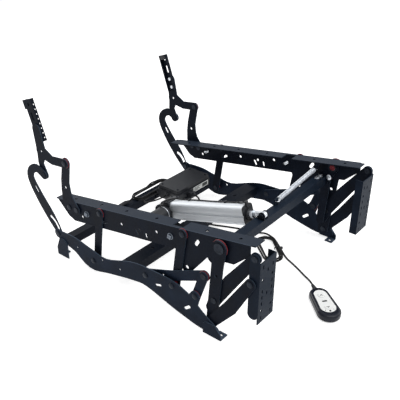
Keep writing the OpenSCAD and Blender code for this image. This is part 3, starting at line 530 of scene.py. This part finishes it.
def aimed(at, axis):
    return Matrix.Translation(at) @ Vector(axis).to_track_quat("Z", "Y").to_matrix().to_4x4()


def turned(bm, profile, at, axis, steps=SPIN_STEPS):
    before = set(bm.verts)
    ring = [bm.verts.new((r, 0.0, h)) for r, h in profile]
    edges = [bm.edges.new(pair) for pair in zip(ring, ring[1:])]
    bmesh.ops.spin(bm, geom=ring + edges, cent=(0, 0, 0), axis=(0, 0, 1), angle=2 * math.pi, steps=steps,
                   use_merge=True)
    made = [vert for vert in bm.verts if vert not in before]
    bmesh.ops.transform(bm, matrix=aimed(at, axis), verts=made)


def spun(name, spins, material, body):
    bm = bmesh.new()
    for profile, at, axis in spins:
        turned(bm, profile, at, axis)
    from_bmesh(bm, name, material, body)


def both_sides(spots, x):
    return [(mm(side * x, y, z), Vector((side, 0, 0))) for side in (-1, 1) for y, z in spots]


print("a profile is spun in", SPIN_STEPS, "steps")

# %% [markdown]
# ## Rivet heads
#
# The CAD rivets have flat heads. The real ones are pressed to a low dome with a small flat rim, and they show
# on the outermost plate of each pivot. Each set of domes rides on the body that its rivet is fixed in. A row
# gives the name, that body, how far the plate's face is from the middle, and the pivots, in millimetres.

# %% Rivet domes
SUNK = 0.0004
DOME_STEPS = 6


def dome(radius, height):
    turns = [i * math.pi / 2 / DOME_STEPS for i in range(DOME_STEPS)]
    arc = [(radius * math.cos(a), height * math.sin(a)) for a in turns]
    return [(0.0, -SUNK), (radius, -SUNK)] + arc + [(0.0, height)]


RIVET = dome(radius=0.0068, height=0.0015)
DOMES = [
    ("base", "base", 272.1, [(139, 36.2), (-135, 84.5), (-50, 76), (-205, 88), (275, 67)]),
    ("seat", "seat", 257.7, [(-157, 228.5), (117, 180.2), (232, 158)]),
    ("footrest", "footrest", 267.3, [(-349.5, 186.2)]),
    ("back_pivot", "seat", 262.5, [(227, 288)]),
]
for name, body, x, spots in DOMES:
    heads = [(RIVET, at, out) for at, out in both_sides(spots, x)]
    spun("rivet_domes_" + name, heads, black_zinc, body)
print("domed rivets:", 2 * sum(len(spots) for name, body, x, spots in DOMES))

# %% [markdown]
# ## Washers on the drive pivot
#
# A red acetal washer lies round the drive tube's hub, behind the end of each front link, and its rim shows
# past that end. A red cap closes the inner end of the hub. Both are spun, and turn with the tube.

# %% Drive washers
HUB = [(-264, 237.65)]
WASHER_LAYER = 256.8
HUB_END = 237.5


def disc(radius, rim, top, height):
    return [(0.0, 0.0), (radius, 0.0), (radius, rim), (top, height), (0.0, height)]


ring = [(0.0122, -0.0011), (0.0198, -0.0011), (0.0202, -0.0007), (0.0202, 0.0007), (0.0198, 0.0011),
        (0.0122, 0.0011), (0.0122, -0.0011)]
cap = disc(radius=0.0076, rim=0.0011, top=0.0068, height=0.0017)
rings = [(ring, at, out) for at, out in both_sides(HUB, WASHER_LAYER)]
rings += [(cap, at, -out) for at, out in both_sides(HUB, HUB_END)]
spun("drive_washers", rings, red_acetal, "drive")
print("drive washers and caps:", len(rings))

# %% [markdown]
# ## Studs on the rails
#
# Two plated studs hold each rail to the seat box: a round flange washer with a square nut on it, whose
# corners are chamfered. They stand on the outer face of the rail's web, and their threaded ends stick out on
# its inner face. Plain rings at the thread's pitch stand for the thread. A nut is a stretched cube with a
# bevel, and so are some pieces further on.

# %% Studs
WEB_OUTER = 251.5
WEB_INNER = 248.5
STUDS = [(169, 158), (-118, 206)]
NUT = (0.0042, 0.0105, 0.0105)
NUT_TURN = math.radians(18)
NUT_MIDDLE = 0.0034
STUD_TIP = 0.0057


def rounded_block(bm, place, size, round_off, segments):
    block = bmesh.ops.create_cube(bm, size=1.0)["verts"]
    bmesh.ops.transform(bm, matrix=place @ Matrix.Diagonal((*size, 1.0)), verts=block)
    edges = list({edge for vert in block for edge in vert.link_edges})
    bmesh.ops.bevel(bm, geom=edges, offset=round_off, affect="EDGES", segments=segments, profile=0.5,
                    material=-1)


def stud(bm, at, out):
    turned(bm, disc(radius=0.0085, rim=0.0008, top=0.0078, height=0.0014), at, out)
    turn = Matrix.Rotation(NUT_TURN, 4, "X")
    rounded_block(bm, Matrix.Translation(at + out * NUT_MIDDLE) @ turn, NUT, round_off=0.0009, segments=2)
    turned(bm, dome(radius=0.0028, height=0.001), at + out * STUD_TIP, out, steps=16)


def threaded(radius, length, pitch):
    profile = [(0.0, 0.0)]
    for i in range(round(length / pitch)):
        profile += [(radius, (i + 0.25) * pitch), (0.84 * radius, (i + 0.75) * pitch)]
    return profile + [(0.7 * radius, length), (0.0, length)]


studs_bm = bmesh.new()
for at, out in both_sides(STUDS, WEB_OUTER):
    stud(studs_bm, at, out)
from_bmesh(studs_bm, "rail_studs", dull_zinc, "seat")
thread = threaded(radius=0.0045, length=0.0112, pitch=0.0016)
ends = [(thread, at, -out) for at, out in both_sides(STUDS, WEB_INNER)]
spun("stud_ends", ends, zinc, "seat")
print("studs on each rail:", len(STUDS))

# %% [markdown]
# ## Bolts on the drive tube
#
# The drive tube is bolted to its two cranks. Zinc hexagon heads with a pressed flange stand on the tube's top
# and on the inner face of each crank, and turn with the tube. A six-sided cone with equal ends is the head,
# and a small bevel takes off its sharp corners.

# %% Drive bolts
CRANK_FACE = 238.9
TUBE_TOP = 207.5
HEAD = 0.0054
HEAD_HEIGHT = 0.0044
HEAD_MIDDLE = 0.0036


def hex_bolt(bm, at, axis):
    turned(bm, disc(radius=0.0074, rim=0.0008, top=0.0062, height=0.0016), at, axis)
    before = set(bm.verts)
    bmesh.ops.create_cone(bm, cap_ends=True, segments=6, radius1=HEAD, radius2=HEAD, depth=HEAD_HEIGHT)
    head = [vert for vert in bm.verts if vert not in before]
    rim = list({edge for vert in head for edge in vert.link_edges})
    bmesh.ops.bevel(bm, geom=rim, offset=0.0006, affect="EDGES", segments=2, profile=0.5, material=-1)
    head = [vert for vert in bm.verts if vert not in before]
    bmesh.ops.transform(bm, matrix=aimed(at + Vector(axis) * HEAD_MIDDLE, axis), verts=head)


bolts = []
for side in (-1, 1):
    bolts += [(mm(side * x, -236, TUBE_TOP), (0, 0, 1)) for x in (213, 228)]
    bolts.append((mm(side * CRANK_FACE, -256, 206), (-side, 0, 0)))
bolts_bm = bmesh.new()
for at, axis in bolts:
    hex_bolt(bolts_bm, at, axis)
from_bmesh(bolts_bm, "drive_bolts", zinc, "drive")
print("bolts on the drive tube:", len(bolts))

# %% [markdown]
# ## Actuator
#
# The solid model has the drawn profile, gearbox, motor and end cap. A clevis pin joins the rod to the drive
# tube's bracket, two flat rings close the motor can, and small screws hold the gearbox lid.

# %% Actuator hardware
UP = AXIS.cross(Vector((1, 0, 0)))
MOTOR_ALONG = 42
LID_TOP = 28


def on_actuator(x, up, along):
    return PIVOT + mm(x, 0, 0) + UP * (up / 1000) + AXIS * (along / 1000)


pin = [(0.0, -0.0125), (0.0062, -0.0125), (0.0066, -0.012), (0.0066, -0.0103), (0.0039, -0.0101),
       (0.0039, 0.0101), (0.0066, 0.0103), (0.0066, 0.0117), (0.0055, 0.0125), (0.0, 0.0125)]
spun("clevis_pin", [(pin, ROD_EYE, (1, 0, 0))], black_zinc, "drive")
band = [(0.0208, -0.001), (0.0213, -0.0009), (0.0213, 0.0009), (0.0208, 0.001)]
bands = [(band, on_actuator(x, 0, MOTOR_ALONG), (1, 0, 0)) for x in (-36, -124)]
spun("motor_bands", bands, zinc, "actuator")
screw = [(0.0, 0.0006), (0.0013, 0.0006), (0.0014, 0.0013), (0.0028, 0.0011), (0.0031, 0.0002),
         (0.0031, -0.0008), (0.0, -0.0008)]
gearbox_lid = [(screw, on_actuator(x, LID_TOP, along), UP) for x in (-18, 18) for along in (33, 51)]
spun("gearbox_screws", gearbox_lid, black_zinc, "actuator")
print("gearbox screws:", len(gearbox_lid))

# %% [markdown]
# ## The switch cable
#
# A thin cable runs along the top of the profile from the limit switch in the end cap to the gearbox, and on
# to the motor. Two clips hold it, so it is a fixed piece and not a free cord. Each spot is given by its place
# across, above and along the actuator.

# %% Cable along the profile
CABLE = 0.0017
CLIP = (0.009, 0.006, 0.0052)
cable_spots = [on_actuator(x, up, along) for x, up, along in (
    (0, 32, 303), (0, 30, 297), (3, 27.2, 285), (5, 27.0, 262), (4, 27.0, 200), (6, 27.0, 140), (5, 27.2, 80),
    (0, 30.2, 58), (-8, 30.0, 45), (-18, 29.8, 40), (-24, 26.6, 40), (-30, 23.4, 41), (-42, 23.2, 42))]
cable_mesh = tube_mesh("switch_cable", through(cable_spots, steps=8), radius=CABLE, sides=2)
put(cable_mesh, "switch_cable", cord_pvc, "actuator")
clip_bm = bmesh.new()
actuator_axes = Matrix((Vector((1, 0, 0)), AXIS, UP)).transposed().to_4x4()
for along in (110, 232):
    spot = Matrix.Translation(on_actuator(5, 27.3, along))
    rounded_block(clip_bm, spot @ actuator_axes, CLIP, round_off=0.0014, segments=3)
from_bmesh(clip_bm, "cable_clips", black_abs, "actuator")
print("cable faces:", len(cable_mesh.polygons))

# %% [markdown]
# ## Handset
#
# The handset's face is a white moulding with two push buttons. A dark window sits between them, a grey arrow
# is printed on each button and three dots mark the lower end, all of them generic. They ride on the piece
# that they are printed on, so a pressed button takes its arrow along. A flat mark is an outline that is
# extruded and rounded along its top rim. Its numbers are millimetres from the end where the cord enters.

# %% Handset marks
HANDSET = Matrix.Translation(mm(*HANDSET_AT, 0)) @ Matrix.Rotation(HANDSET_TURN, 4, "Z")
FACE = 21.3
PRINT = {"low": 22.0, "high": 22.35, "round_off": 0.1, "material": grey_print, "slot": "white_plastic"}
PILL_STEPS = 10


def slab(bm, outline, low, high, round_off):
    verts = [bm.verts.new(mm(x, y, low)) for x, y in outline]
    face = bm.faces.new(verts)
    raised = bmesh.ops.extrude_face_region(bm, geom=[face])["geom"]
    top = [item for item in raised if isinstance(item, bmesh.types.BMVert)]
    bmesh.ops.translate(bm, vec=mm(0, 0, high - low), verts=top)
    rim = [edge for edge in bm.edges if all(vert in top for vert in edge.verts)]
    bmesh.ops.bevel(bm, geom=rim, offset=round_off / 1000, affect="EDGES", segments=2, profile=0.5,
                    material=-1)


def mark(name, outline, low, high, round_off, material, body, slot):
    bm = bmesh.new()
    slab(bm, outline, low, high, round_off)
    bmesh.ops.transform(bm, matrix=HANDSET, verts=bm.verts)
    from_bmesh(bm, name, material, body)


def pill(middle, length, width):
    turns = [math.pi * (i / PILL_STEPS - 0.5) for i in range(PILL_STEPS + 1)]
    half = length / 2 - width / 2
    return [(middle + way * width / 2 * math.sin(a), way * (half + width / 2 * math.cos(a)))
            for way in (1, -1) for a in turns]


def arrow(middle, way):
    return [(middle - way * 3.2, -5.2), (middle + way * 3.2, 0.0), (middle - way * 3.2, 5.2),
            (middle - way * 0.6, 0.0)]


mark("indicator_window", pill(middle=58.5, length=13, width=4.6), low=20.6, high=21.5, round_off=0.3,
     material=window_film, body="base", slot="black_plastic")
mark("arrow_recline", arrow(middle=36, way=-1), body="button_recline", **PRINT)
mark("arrow_upright", arrow(middle=82, way=1), body="button_upright", **PRINT)
dots = [(dome(0.0027, 0.0006), HANDSET @ mm(95.8, 0, FACE), (0, 0, 1))]
dots += [(dome(0.0011, 0.0004), HANDSET @ mm(91.5, y, FACE), (0, 0, 1)) for y in (-10.5, 10.5)]
spun("indicator_dots", dots, window_film, "base")
print("handset marks: a window, two arrows and", len(dots), "dots")

# %% [markdown]
# ## Strain reliefs, grips and screws
#
# Each cord enters its housing through a ribbed, tapered relief, and the plug has rings to grip it by. The lid
# of the power supply is held by four small screws. All of these are spun.

# %% Strain reliefs


def ribbed(base, tip, length, ribs):
    profile = [(base, 0.0)]
    for i in range(ribs):
        for part, scale in ((0.15, 1.0), (0.55, 1.0), (0.65, 0.86), (0.95, 0.86)):
            t = (i + part) / ribs
            profile.append(((base + (tip - base) * t) * scale, length * t))
    return profile + [(tip, length), (tip * 0.7, length)]


handset_exit = HANDSET @ mm(1.5, 0, 9.5)
back_along = HANDSET.to_3x3() @ Vector((-1, 0, 0))
RELIEFS = [
    ("handset_relief", ribbed(base=0.0068, tip=0.0041, length=0.0225, ribs=6), handset_exit, back_along),
    ("supply_relief", ribbed(base=0.0062, tip=0.0046, length=0.0112, ribs=4), mm(53, 164, 88), (-1, 0, 0)),
]
for name, profile, at, axis in RELIEFS:
    spun(name, [(profile, at, axis)], black_abs, "base")
print("reliefs:", len(RELIEFS))

# %% Grips and screws
grip = [(0.0055, -0.0011), (0.0062, -0.0007), (0.0062, 0.0007), (0.0055, 0.0011)]
grips = [(grip, mm(x, 238, 78.4), (1, 0, 0)) for x in (-50, -53.5, -57, -60.5)]
spun("plug_grips", grips, black_abs, "base")
supply_lid = [(screw, mm(x, y, 109.2), (0, 0, 1)) for x in (64, 192) for y in (134, 194)]
spun("supply_screws", supply_lid, black_zinc, "base")
print("grips:", len(grips), "lid screws:", len(supply_lid))

# %% [markdown]
# ## The supply's label
#
# A white film label sits on the front of the power supply, above the lip of its tray. Plain grey bars are
# printed on it, and a cube stretched to each size is enough for flat pieces like these. A row gives left,
# right, low and high, in millimetres.

# %% Label
SUPPLY_FRONT = 122.0
INTO = 0.3
LABEL = (122, 192, 79.4, 95.8)
BARS = [(126, 156, 91.6, 93.4), (126, 148, 88.2, 89.6), (126, 152, 85.2, 86.6), (126, 144, 82.2, 83.6),
        (164, 188, 82.2, 93.4)]


def on_front(bm, left, right, low, high, proud):
    block = bmesh.ops.create_cube(bm, size=1.0)["verts"]
    middle = mm((left + right) / 2, SUPPLY_FRONT + (INTO - proud) / 2, (low + high) / 2)
    size = Matrix.Diagonal((*mm(right - left, proud + INTO, high - low), 1.0))
    bmesh.ops.transform(bm, matrix=Matrix.Translation(middle) @ size, verts=block)


label_bm = bmesh.new()
on_front(label_bm, *LABEL, proud=0.2)
from_bmesh(label_bm, "supply_label", label_film, "base", smooth=False)
bars_bm = bmesh.new()
for bar in BARS:
    on_front(bars_bm, *bar, proud=0.3)
from_bmesh(bars_bm, "label_bars", grey_print, "base", smooth=False)
print("label bars:", len(BARS))

# %% [markdown]
# ## Ties on the hanks
#
# Each hank is held by a flat nylon tie over one of its sides. The tie is a thin band bent over the cords down
# to what they lie on and given its thickness, with the small square head where its tail passes through.

# %% Ties
TIE_HALF = 0.0022
TIE_THICK = 0.0009
TIE_HEAD = (0.0068, 0.0036, 0.0054)


def tie(name, place, outline, head):
    bm = bmesh.new()
    line = through(millimetres((0, y, z) for y, z in outline), steps=4)
    for x in (-TIE_HALF, TIE_HALF):
        run = [bm.verts.new(spot + Vector((x, 0, 0))) for spot in line]
        for pair in zip(run, run[1:]):
            bm.edges.new(pair)
    band = bmesh.ops.bridge_loops(bm, edges=list(bm.edges))["faces"]
    bmesh.ops.solidify(bm, geom=band, thickness=TIE_THICK)
    rounded_block(bm, Matrix.Translation(mm(0, *head)), TIE_HEAD, round_off=0.0007, segments=2)
    bmesh.ops.transform(bm, matrix=place, verts=bm.verts)
    from_bmesh(bm, name, black_abs, "base")


on_hank = Matrix.Translation(mm(*HANK_AT, 0)) @ Matrix.Rotation(math.radians(HANK_TURN), 4, "Z")
handset_outline = [(10.6, 0.3), (10.7, 3.4), (9.6, 5.9), (6.6, 7.6), (3.6, 10.8), (0, 12.6),
                   (-3.6, 10.8), (-6.6, 7.6), (-9.6, 5.9), (-10.7, 3.4), (-10.6, 0.3)]
tie("handset_tie", on_hank @ Matrix.Translation(mm(0, -25.25, 0)), handset_outline, head=(-11.6, 3.4))
lead_outline = [(6.0, 72.8), (6.2, 76), (6.2, 80.6), (4.3, 83.3), (1.4, 82.9),
                (-1.6, 79.8), (-5.2, 78.0), (-6.2, 75.6), (-6.0, 72.8)]
tie("lead_tie", Matrix.Translation(mm(60, 215.5, 0)), lead_outline, head=(-7.0, 76.0))
print("the ties bend over", len(handset_outline), "and", len(lead_outline), "spots")

# %% [markdown]
# ## Back channels
#
# Each back channel is closed at its top by a black plastic insert, and its lower end is screwed to the back
# plate by two pan-head screws. Both are placed by how far they are along the leaning channel.

# %% Channel inserts
LEAN = math.radians(19)
ALONG = Vector((0, math.sin(LEAN), math.cos(LEAN)))
ACROSS = Vector((0, math.cos(LEAN), -math.sin(LEAN)))
FOOT = mm(0, 314, 323)
INSERT = (0.0072, 0.0226, 0.0135)


def in_channel(side, x, along):
    return mm(side * x, 0, 0) + FOOT + ALONG * (along / 1000)


insert_bm = bmesh.new()
channel_axes = Matrix((Vector((1, 0, 0)), ACROSS, ALONG)).transposed().to_4x4()
for side in (-1, 1):
    spot = Matrix.Translation(in_channel(side, 251.9, 105))
    rounded_block(insert_bm, spot @ channel_axes, INSERT, round_off=0.0014, segments=3)
from_bmesh(insert_bm, "channel_inserts", black_abs, "back")
pan = [(0.0, 0.0026), (0.0016, 0.0026), (0.0018, 0.0036), (0.0046, 0.0032), (0.0058, 0.0018), (0.006, 0.0),
       (0.0, 0.0)]
pans = [(pan, in_channel(side, 255.6, along), (-side, 0, 0)) for side in (-1, 1) for along in (11, 36)]
spun("channel_screws", pans, zinc, "back")
print("channel screws:", len(pans))

# %% [markdown]
# ## Floor
#
# The picture has a white sweep. The floor is a plain pale grid that also glows where the camera or a
# reflection sees it, so it looks white and the metal mirrors a white room, while it still takes the shadow.

# %% Floor
FLOOR_HALF = 6.0
FLOOR_COLOUR = (0.9, 0.9, 0.9, 1)
FLOOR_GLOW = 0.62


def plainly_seen(tree):
    path = add(tree, "ShaderNodeLightPath")
    rays = {0: path.outputs["Is Camera Ray"], 1: path.outputs["Is Glossy Ray"]}
    mirrored = add(tree, "ShaderNodeMath", rays, operation="MAXIMUM")
    rays = {0: mirrored.outputs[0], 1: path.outputs["Is Transmission Ray"]}
    return add(tree, "ShaderNodeMath", rays, operation="MAXIMUM").outputs[0]


floor_bm = bmesh.new()
bmesh.ops.create_grid(floor_bm, x_segments=1, y_segments=1, size=FLOOR_HALF)
floor_mesh = bpy.data.meshes.new("floor")
floor_bm.to_mesh(floor_mesh)
floor_bm.free()
floor = bpy.data.objects.new("floor", floor_mesh)
bpy.context.scene.collection.objects.link(floor)
floor_paint = bpy.data.materials.new("white_sweep")
floor_paint.use_nodes = True
floor_tree = floor_paint.node_tree
floor_tree.nodes.clear()
matt = add(floor_tree, "ShaderNodeBsdfDiffuse", {"Color": FLOOR_COLOUR})
lift = add(floor_tree, "ShaderNodeMath", {0: plainly_seen(floor_tree), 1: FLOOR_GLOW}, operation="MULTIPLY")
glow = add(floor_tree, "ShaderNodeEmission", {"Color": (1, 1, 1, 1), "Strength": lift.outputs[0]})
both = add(floor_tree, "ShaderNodeAddShader", {0: matt.outputs[0], 1: glow.outputs[0]})
add(floor_tree, "ShaderNodeOutputMaterial", {"Surface": both.outputs[0]})
floor.data.materials.append(floor_paint)
print("floor is", 2 * FLOOR_HALF, "m wide")

# %% [markdown]
# ## Light
#
# The picture's light is very soft. A large lamp above and in front lights the flange tops, a weaker one fills
# the far side and a third one comes from behind. The world is white where the camera or a reflection sees it,
# and only a dim fill for everything else.

# %% Lamps and world
SKY_FILL = 0.4


def lamp(name, place, target, size, power):
    data = bpy.data.lights.new(name, "AREA")
    data.shape = "SQUARE"
    data.size = size
    data.energy = power
    thing = bpy.data.objects.new(name, data)
    bpy.context.scene.collection.objects.link(thing)
    aim = (Vector(target) - Vector(place)).to_track_quat("-Z", "Y")
    thing.matrix_world = Matrix.Translation(place) @ aim.to_matrix().to_4x4()


lamp("key", place=(-0.1, -1.3, 2.3), target=(0, 0, 0.15), size=1.8, power=32)
lamp("fill", place=(1.7, -1.4, 1.5), target=(0, 0, 0.2), size=1.6, power=12)
lamp("back", place=(0.3, 2.2, 1.8), target=(0, 0, 0.2), size=1.6, power=24)
world = bpy.data.worlds.new("studio")
bpy.context.scene.world = world
world.use_nodes = True
world_tree = world.node_tree
world_tree.nodes.clear()
levels = {"Value": plainly_seen(world_tree), "To Min": SKY_FILL, "To Max": 1.0}
level = add(world_tree, "ShaderNodeMapRange", levels).outputs["Result"]
sky = add(world_tree, "ShaderNodeBackground", {"Color": (1, 1, 1, 1), "Strength": level})
add(world_tree, "ShaderNodeOutputWorld", {"Surface": sky.outputs[0]})
bpy.context.scene.view_settings.view_transform = "Standard"
